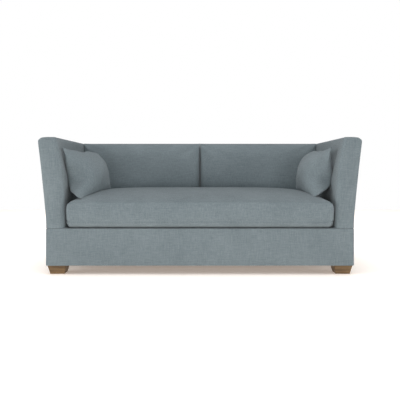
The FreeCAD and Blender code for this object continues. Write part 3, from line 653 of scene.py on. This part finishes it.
def back_panel(side):
    low = (SEAM_HALF, BACK_FOOT, BASE_TOP)
    high = (INNER - BACK_GAP, REAR, TOP)
    top_edges = ((0, 0), (0.036, 0.01), (0, 0.036))
    seams = ((0.0015, 0.003), (0.006, 0), (SEAM, 0.003))
    ends = ((0.010, 0.018), (0.034, 0), (0, 0))
    extra = (PULL_CUTS, (BACK_FOOT + BACK_PAD,), (PAD_UNDERSIDE, PAD_UNDERSIDE - FOLD))
    mesh = block(low, high, (top_edges, ends, seams), spacing=(0.024, 0.024, 0.022), extra=extra)
    for vert in mesh.verts:
        if vert.co.z < PAD_UNDERSIDE - FOLD / 2:
            vert.co.y = min(vert.co.y, BACK_FOOT + BACK_PAD)
    for vert in mesh.verts:
        from_rear = (REAR - vert.co.y) / (REAR - BACK_FOOT)
        below_top = min(1.0, (TOP - vert.co.z) / PULL_RUN)
        vert.co.y += PULL * below_top * math.exp(-(vert.co.x / PULL_WIDTH) ** 2) * max(0.0, from_rear)
        vert.co.y += BACK_LEAN * (vert.co.z - BASE_TOP) * min(1.0, from_rear * LEAN_GAIN)
        up_belly = max(0.0, (vert.co.z - BELLY_FOOT) / (TOP - BELLY_FOOT))
        belly = math.sin(math.pi * min(1.0, up_belly) ** BELLY_POWER)
        vert.co.y -= BELLY * belly * max(0.0, from_rear)
        stretch = (back_reach(vert.co.z) - SEAM_HALF) / (high[0] - SEAM_HALF)
        vert.co.x = side * (SEAM_HALF + (vert.co.x - SEAM_HALF) * stretch)
    return mesh


def held_on_back(co):
    """True where the back pad is held: along the seams, below and behind."""
    face = BACK_FOOT + BACK_LEAN * (co.z - BASE_TOP)
    on_end = abs(co.x) < HELD_END or abs(co.x) > back_reach(co.z) - HELD_END
    return on_end or co.y > face + HELD_BEHIND or co.z < BASE_TOP + HELD_BELOW


for word, side in SIDES.items():
    pad = make_piece(f"back_{word}", back_panel(side), CLOTH)
    held = [vert.index for vert in pad.data.vertices if held_on_back(vert.co)]
    swell(pad, held, pressure=1.5, most=0.009)
    subdivide(pad)
    settle(pad, "frame", "upholstery", f"back_{word}_pad")
    print(pad.name, len(pad.data.polygons), "faces")

# %% Outside back
def outside_back():
    low = (-HALF_BASE, BACK_PLANE, BASE_TOP)
    high = (HALF_BASE, REAR, PAD_UNDERSIDE)
    seams = ((SEAM, SEAM), (0, SEAM), (SEAM, SEAM))
    mesh = block(low, high, (seams,), spacing=(0.03, 0.02, 0.03))
    ripple(mesh, amount=0.001, scale=5)
    for vert in mesh.verts:
        vert.co.x *= 1 + lean_out(vert.co.z) / HALF_BASE
    return mesh


rear_panel = make_piece("back_outside", outside_back(), CLOTH)
subdivide(rear_panel)
settle(rear_panel, "frame", "upholstery", "outside_back")
print(rear_panel.name, len(rear_panel.data.polygons), "faces")

# %% [markdown]
# ## Seat cushion
#
# One loose bench cushion fills the seat. It is boxed: a top and a bottom panel are sewn to a band that
# runs round the sides. The block's own edges are the two seams. The top is crowned along its length and
# its depth, the underside lies flat on the deck, and both seams are held while the panels swell. At the
# front its ends are widest a little above half their height and draw in towards the deck.

# %% Shape of the seat cushion
CUSHION_LOW, CUSHION_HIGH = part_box("seat_cushion_cover")
CUSHION_HALF = CUSHION_HIGH.x
CUSHION_REAR = CUSHION_HIGH.y
DECK_GAP = 0.0003
FRONT_GAP = 0.004
CUSHION_FLOOR = CUSHION_LOW.z + DECK_GAP
CUSHION_FRONT = CUSHION_LOW.y + FRONT_GAP
CUSHION_SHOULDER = 0.418
REAR_GAP = 0.001
CROWN = 0.060
CROWN_POWER = 6
CROWN_START = 1.5
CUSHION_CELL = 0.016
SEAM_DEPTH = 0.006
SEAM_ROW = 0.004
LOWER_SEAM = 0.037
END_BULGE = 0.006
END_DRAW = 0.016
END_RUN = 0.03


def crown_rise(across, along):
    """How far the cushion's top rises above its shoulder."""
    middle = (CUSHION_FRONT + CUSHION_REAR) / 2
    depth = (along - middle) / (CUSHION_REAR - middle)
    width = abs(across) / CUSHION_HALF
    return CROWN * max(0.0, 1 - depth * depth) * max(0.0, 1 - width ** CROWN_POWER)


def seat_cushion():
    low = Vector((-CUSHION_HALF, CUSHION_FRONT, CUSHION_FLOOR))
    high = Vector((CUSHION_HALF, CUSHION_REAR - REAR_GAP, CUSHION_SHOULDER))
    end_tops = ((0.06, 0.06), (0, 0), (0, 0.05))
    top_edges = ((0.02, 0.02), (0.03, 0.012), (0, 0.034))
    low_edges = ((0.03, 0.03), (0.05, 0.012), (LOWER_SEAM, 0))
    uprights = ((0.014, 0.014), (0.01, 0.01), (0, 0))

    def on_seam(co):
        upright = any(min(abs(co[axis] - low[axis]), abs(co[axis] - high[axis])) < WELD for axis in (0, 1))
        return upright and (abs(co.z - high.z) < WELD or abs(co.z - low.z - LOWER_SEAM) < 2 * WELD)

    seam_rows = (low.z + LOWER_SEAM - SEAM_ROW, low.z + LOWER_SEAM + SEAM_ROW)
    rounds = (end_tops, top_edges, low_edges, uprights)
    cells = (CUSHION_CELL, CUSHION_CELL, CUSHION_CELL)
    mesh = block(low, high, rounds, cells, ((), (), seam_rows), on_seam)
    for vert in mesh.verts:
        share = (vert.co.z - CUSHION_FLOOR) / (CUSHION_SHOULDER - CUSHION_FLOOR)
        vert.co.z += crown_rise(vert.co.x, vert.co.y) * max(0.0, share) ** CROWN_START
        near_front = math.exp(-((vert.co.y - CUSHION_FRONT) / END_RUN) ** 2)
        below = max(0.0, 1 - share)
        end_shift = END_BULGE * 4 * share * below - END_DRAW * below * below
        vert.co.x *= 1 + end_shift * near_front / CUSHION_HALF
    return mesh


print("cushion", round(2 * CUSHION_HALF, 3), "by", round(CUSHION_REAR - CUSHION_FRONT, 3), "metres")

# %% Seat cushion
UNDERSIDE_DEPTH = 0.002
ZIP_GAP = 0.0006


def draw_in(piece, numbers, depth):
    """Draw seam vertices into the stuffing, against the surface's own direction."""
    normals = [piece.data.vertices[number].normal.copy() for number in numbers]
    for number, normal in zip(numbers, normals):
        piece.data.vertices[number].co -= normal * depth


cushion = make_piece("seat_cushion", seat_cushion(), CLOTH)
seams = seam_points(cushion)
underside = [vert.index for vert in cushion.data.vertices if vert.co.z < CUSHION_FLOOR + UNDERSIDE_DEPTH]
swell(cushion, seams + underside, pressure=2.5, most=0.006)
draw_in(cushion, seams, SEAM_DEPTH)
for vert in cushion.data.vertices:
    vert.co.y = min(vert.co.y, CUSHION_REAR - ZIP_GAP)
subdivide(cushion)
settle(cushion, "seat_cushion", "upholstery", "seat_cushion_cover")
print(cushion.name, len(cushion.data.polygons), "faces")

# %% [markdown]
# ## Throw pillows
#
# Each pillow is two squares of cloth sewn along a knife edge and stuffed. Two grids are shaped into the
# faces of a lens, turned into their place against the arm, welded along their border and blown up
# between the seams. The front edge is tucked towards the arm between its corners, and the lower front
# corner splays out over the seat. Where a pillow lies on the seat or on the arm, it is pressed flat.

# %% Shape of the pillows
PILLOW_WIDTH = 0.340
PILLOW_HEIGHT = 0.314
FACE_SWELL = 0.060
BACK_SWELL = 0.110
REAR_SQUASH = 0.065
EDGE_DENT = 0.018
TOP_DENT = 0.016
CORNER_PULLS = {(-1, 1): -0.065, (1, 1): 0.17, (1, -1): 0.04, (-1, -1): 0.06}
FRONT_SAG = 0.024
SAG_PLACE = -0.6
SAG_RUN = 0.4
TUCK_IN = 0.066
TUCK_BACK = 0.062
TUCK_PLACE = -0.15
TUCK_RUN = 0.55
SPLAY = 0.018
SPLAY_POWER = 4
FULLNESS_POWER = 0.6
PILLOW_CELLS = 40
PILLOW_CLOTH = 0.0001
PILLOW_DENT = 0.006
PILLOW_DENT_SCALE = 18


def arc_depth(share, half, crest):
    """Depth of an arc over a chord, where the share runs from -1 at one end of the chord to 1."""
    if abs(crest) < TINY:
        return 0.0
    radius = (half * half + crest * crest) / (2 * abs(crest))
    depth = math.sqrt(max(0.0, radius * radius - (share * half) ** 2)) - radius + abs(crest)
    return math.copysign(max(0.0, depth), crest)


def pillow_point(side, across, up, middle_depth):
    """A point of the cover: across and up run from -1 to 1, and the depth is that of its middle."""
    corner = (-1 if across < 0 else 1, -1 if up < 0 else 1)
    pulled = 1 - CORNER_PULLS[corner] * (across * up) ** 2
    width_left = max(0.0, 1 - across * across)
    upper = PILLOW_HEIGHT / 2 - TOP_DENT * width_left * (1 - across) / 2
    lower = REAR_SQUASH * ((1 + across) / 2) ** 2 + EDGE_DENT * width_left - PILLOW_HEIGHT / 2
    half = (upper - lower) / 2
    depth = arc_depth(up, half, middle_depth * width_left ** FULLNESS_POWER)
    to_front = max(0.0, -across) ** 2
    sag = FRONT_SAG * to_front * math.exp(-((up - SAG_PLACE) / SAG_RUN) ** 2)
    tuck = to_front * math.exp(-((up - TUCK_PLACE) / TUCK_RUN) ** 2)
    along = across * pulled * PILLOW_WIDTH / 2 - sag + TUCK_BACK * tuck
    splay = SPLAY * to_front * max(0.0, -up) ** SPLAY_POWER
    depth += side * (TUCK_IN * tuck - splay)
    return Vector((depth, along, (upper + lower) / 2 + half * up * pulled))


def pillow(side, place, turns):
    """Two grids, one for each face, welded along the border."""
    mesh = bmesh.new()
    yaw, lean, roll = (math.radians(turn) for turn in turns)
    turned = Matrix.Rotation(yaw, 3, "Z") @ Matrix.Rotation(lean, 3, "Y") @ Matrix.Rotation(roll, 3, "X")
    layer = mesh.verts.layers.int.new("seam")
    for depth in (-side * FACE_SWELL, side * BACK_SWELL):
        made = bmesh.ops.create_grid(mesh, x_segments=PILLOW_CELLS, y_segments=PILLOW_CELLS, size=1)
        for vert in made["verts"]:
            on_border = max(abs(vert.co.x), abs(vert.co.y)) > 1 - WELD
            vert[layer] = int(on_border)
            across, up = (math.sin(share * math.pi / 2) for share in vert.co.xy)
            point = pillow_point(side, across, up, depth)
            if not on_border:
                point.x += math.copysign(PILLOW_CLOTH, depth)
            vert.co = Vector(place) + turned @ point
    tidy_mesh(mesh)
    ripple(mesh, PILLOW_DENT, PILLOW_DENT_SCALE)
    return mesh


print("each pillow has", 2 * PILLOW_CELLS * PILLOW_CELLS, "cells")

# %% Pillows in their corners
# The place of each pillow's middle, and its yaw, lean and roll in degrees
PILLOWS = {
    "left": ((-0.6567, -0.225, 0.5613), (-26.7, -19.7, -0.4)),
    "right": ((0.6702, -0.181, 0.5642), (12.2, 18.1, -0.1)),
}
REST_GAP = 0.0012
ABOVE_ALL = 1


def surface_of(piece):
    """A tree for finding where a line meets the final surface of a piece."""
    bpy.context.view_layer.update()
    return BVHTree.FromObject(piece, bpy.context.evaluated_depsgraph_get())


SEAT_SURFACE = surface_of(cushion)


def press(piece, side, arm_surface):
    """Lift a pillow's vertices out of the seat, and push them out of the arm."""
    for vert in piece.data.vertices:
        above = Vector((vert.co.x, vert.co.y, ABOVE_ALL))
        spot = SEAT_SURFACE.ray_cast(above, Vector((0, 0, -1)))[0]
        if spot and vert.co.z < spot.z + REST_GAP:
            vert.co.z = spot.z + REST_GAP
        inside = Vector((0, vert.co.y, vert.co.z))
        spot = arm_surface.ray_cast(inside, Vector((side, 0, 0)))[0]
        if spot and side * vert.co.x > side * spot.x - REST_GAP:
            vert.co.x = spot.x - side * REST_GAP


for word, (place, turns) in PILLOWS.items():
    side = SIDES[word]
    piece = make_piece(f"{word}_pillow", pillow(side, place, turns), CLOTH)
    swell(piece, seam_points(piece), pressure=1.2, most=0.008)
    press(piece, side, surface_of(bpy.data.objects[f"{word}_arm_inside"]))
    subdivide(piece)
    settle(piece, f"{word}_pillow", "upholstery", f"{word}_pillow_cover", f"{word}_pillow_insert")
    print(piece.name, len(piece.data.polygons), "faces")

# %% [markdown]
# ## Deck and black cloths
#
# Under the cushion lies a thin padded deck on a black cloth over the springs, and another black cloth is
# stapled across the bottom of the frame to keep dust out. They show when the cushion is lifted off or
# the loveseat is turned over.

# %% Deck
DECK_LOW, DECK_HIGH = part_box("deck_pad")
RAIL_GAP = 0.0003
DECK_EDGE = 0.001
UNDER_ARM = 0.01
LIP_REACH = INNER + UNDER_ARM


def deck_pad():
    """The pad, with its cover drawn forward over the front rail."""
    low = Vector((DECK_LOW.x, FRONT + BORDER / 2, DECK_LOW.z))
    edges = ((DECK_EDGE, DECK_EDGE), (DECK_EDGE, DECK_EDGE), (0, DECK_EDGE))
    extra = ((), (DECK_LOW.y, DECK_LOW.y + FOLD), ())
    mesh = block(low, DECK_HIGH, (edges,), spacing=(0.03, 0.03, 0.02), extra=extra)
    for vert in mesh.verts:
        if vert.co.y < DECK_LOW.y + FOLD / 2:
            vert.co.z = max(vert.co.z, BASE_TOP + RAIL_GAP)
            vert.co.x *= LIP_REACH / DECK_HIGH.x
    return mesh


deck = make_piece("seat_deck", deck_pad(), CLOTH)
subdivide(deck)
settle(deck, "frame", "upholstery", "deck_pad")
print(deck.name, len(deck.data.polygons), "faces")

# %% Black cloths
CLOTH_EDGE = 0.0003
BLACK_CLOTHS = {"deck_cloth": "deck_pad", "dust_cover": "front_rail"}


def cambric():
    finish = Finish("cambric", Roughness=0.95, Specular_IOR_Level=0.1)
    threads = slubs(finish, long=60, fine=900)
    tone = finish.spread(threads, low=0.35, high=0.65)
    finish.colour(finish.blend(tone, shade(30, 30, 32), shade(48, 48, 50)))
    finish.relief(threads, strength=0.5, distance=0.0003)
    return finish.material


def thin_cloth(low, high):
    """A cloth stretched flat between its staples, as thick as its solid."""
    edge = (CLOTH_EDGE, CLOTH_EDGE)
    return block(low, high, ((edge, edge, edge),), spacing=(0.05, 0.05, 0.01))


BLACK_CLOTH = cambric()
for node, neighbour in BLACK_CLOTHS.items():
    low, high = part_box(node)
    piece = make_piece(f"{node}_sheet", thin_cloth(low, high), BLACK_CLOTH)
    settle(piece, "frame", "black_cloth", node)
    print(piece.name, len(piece.data.polygons), "faces")

# %% [markdown]
# ## Finishes of the frame
#
# The feet, the rails, the springs and the fittings are already the right shape, so they only get a
# finish. Wood is noise drawn out along its grain, with fine dark pores on top. Steel gets slightly
# uneven roughness. Foam and wadding are pale and bumpy, and show only when a cover is taken off.

# %% Wood
ALONG_X = ((5, 60, 60), (30, 600, 600))
ALONG_Z = ((60, 60, 5), (600, 600, 30))
PORE_SHARE = 0.3
PORE_ROUGHNESS = 0.2


def wood(name, dark, light, grain, gloss):
    """Streaks along the grain, where grain holds one coarse and one fine share for each axis."""
    finish = Finish(name, Specular_IOR_Level=0.35)
    coarse, fine = grain
    bands = finish.cloud(coarse, detail=4.0)
    pores = finish.cloud(fine)
    tone = finish.spread(bands * (1 - PORE_SHARE) + pores * PORE_SHARE, low=0.34, high=0.66)
    finish.colour(finish.blend(tone, dark, light))
    finish.roughness(gloss + pores * PORE_ROUGHNESS)
    finish.relief(pores, strength=0.2, distance=0.0004)
    return finish.material


FOOT_WOOD = wood("foot_stain", shade(69, 50, 30), shade(123, 99, 68), ALONG_X, 0.38)
FRAME_WOOD = wood("sawn_hardwood", shade(176, 140, 98), shade(214, 184, 142), ALONG_X, 0.6)
PLYWOOD = wood("sanded_plywood", shade(190, 158, 116), shade(226, 200, 160), ALONG_Z, 0.55)
print("woods", FOOT_WOOD.name, FRAME_WOOD.name, PLYWOOD.name)

# %% Metal, plastic and hidden fillings
MOTTLE = (90, 90, 90)
SCUFFS = (300, 300, 300)
SCUFF_ROUGHNESS = 0.15


def metal(name, colour, gloss):
    finish = Finish(name, Metallic=1.0)
    finish.colour(finish.blend(finish.cloud(MOTTLE), colour, darker(colour)))
    finish.roughness(gloss + finish.cloud(SCUFFS) * SCUFF_ROUGHNESS)
    return finish.material


def filling(name, colour, grain, depth):
    """A pale, open surface: foam cells, wadding, felted or woven tape, as coarse as the grain says."""
    finish = Finish(name, Roughness=0.95, Specular_IOR_Level=0.1)
    cells = finish.cloud((grain, grain, grain), detail=3.0)
    finish.colour(finish.blend(cells, darker(colour), colour))
    finish.relief(cells, strength=0.4, distance=depth)
    return finish.material


FINISHES = {
    "foot_wood": FOOT_WOOD,
    "frame_wood": FRAME_WOOD,
    "plywood": PLYWOOD,
    "spring_steel": metal("oiled_spring", shade(120, 120, 124), 0.35),
    "zinc_steel": metal("zinc_plate", shade(200, 200, 196), 0.3),
    "zip_metal": metal("nickel", shade(178, 176, 172), 0.22),
    "glide_nylon": filling("nylon", shade(52, 52, 54), 120, 0.0002),
    "foam": filling("foam_cells", shade(232, 220, 180), 400, 0.001),
    "fibre_fill": filling("wadding", shade(238, 238, 234), 90, 0.002),
    "zip_tape": filling("zip_weave", shade(84, 92, 97), 700, 0.0003),
}
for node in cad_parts.values():
    slot = node.active_material.name.split(".")[0]
    if slot in FINISHES:
        node.material_slots[0].material = FINISHES[slot]
print("finishes for", len(FINISHES), "material slots")

# %% [markdown]
# ## Stage and light
#
# The photograph has even studio light: no hard shadow, fronts a little lighter than tops, and dark only
# where surfaces close in on each other. Four large softboxes do that, one on each side, a low one in front
# and one overhead, with a dim white surround to fill the gaps. The camera sees that surround as pure
# white. The floor glows a little, as a lit studio table does, which keeps the shadow under the base pale
# and warm, and two more softboxes that light nothing but the floor keep it white up to the horizon.

# %% Floor
FLOOR_REACH = 4.5
FLOOR_DARK = (0.90, 0.88, 0.86, 1)
FLOOR_LIGHT = (0.92, 0.90, 0.88, 1)
# A painted glow: the floor gives off warm light of its own, though it is no lamp, which lifts the shadow
# under the base.
FLOOR_GLOW = (0.30, 0.245, 0.205, 1)


def floor_paint_and_glow():
    glow = {"Emission_Color": FLOOR_GLOW, "Emission_Strength": 1.0}
    finish = Finish("floor", Roughness=0.9, Specular_IOR_Level=0.0, **glow)
    finish.colour(finish.blend(finish.cloud((2, 2, 2)), FLOOR_DARK, FLOOR_LIGHT))
    return finish.material


floor_mesh = bmesh.new()
bmesh.ops.create_grid(floor_mesh, x_segments=1, y_segments=1, size=FLOOR_REACH)
floor = make_piece("floor", floor_mesh, floor_paint_and_glow())
print("floor", 2 * FLOOR_REACH, "metres wide")

# %% Surround
SURROUND = 0.13

world = bpy.data.worlds.new("studio")
bpy.context.scene.world = world
world.use_nodes = True
surround = world.node_tree.nodes["Background"]
surround.inputs["Color"].default_value = (1, 1, 1, 1)
seen = world.node_tree.nodes.new("ShaderNodeLightPath")
strength = world.node_tree.nodes.new("ShaderNodeMapRange")
strength.inputs["To Min"].default_value = SURROUND
strength.inputs["To Max"].default_value = 1.0
world.node_tree.links.new(seen.outputs["Is Camera Ray"], strength.inputs["Value"])
world.node_tree.links.new(strength.outputs["Result"], surround.inputs["Strength"])
bpy.context.scene.view_settings.view_transform = "Standard"
print("surround at", SURROUND, "of white")

# %% Softboxes
MIDDLE = (0, 0, 0.5)


def soft_light(name, place, target, width, height, power):
    data = bpy.data.lights.new(name, "AREA")
    data.shape = "RECTANGLE"
    data.size = width
    data.size_y = height
    data.energy = power
    light = bpy.data.objects.new(name, data)
    light.location = place
    light.rotation_euler = (Vector(target) - Vector(place)).to_track_quat("-Z", "Y").to_euler()
    bpy.context.scene.collection.objects.link(light)
    return light


soft_light("left", (-4.9, -1.2, 1), MIDDLE, width=2.4, height=1.8, power=138)
soft_light("right", (4.9, -1.2, 1), MIDDLE, width=2.4, height=1.8, power=96)
soft_light("front", (0, -4.6, 0.6), MIDDLE, width=4, height=1.1, power=106)
soft_light("top", (0, -0.6, 4.5), MIDDLE, width=3, height=3, power=112)
floor_only = bpy.data.collections.new("floor_only")
floor_only.objects.link(floor)
for floor_light in (
    soft_light("floor_front", (0, -3.4, 3.4), (0, -0.9, 0), width=4, height=2, power=30),
    soft_light("floor_rear", (0, 3, 3.5), (0, 3, 0), width=9, height=5, power=210),
):
    floor_light.light_linking.receiver_collection = floor_only
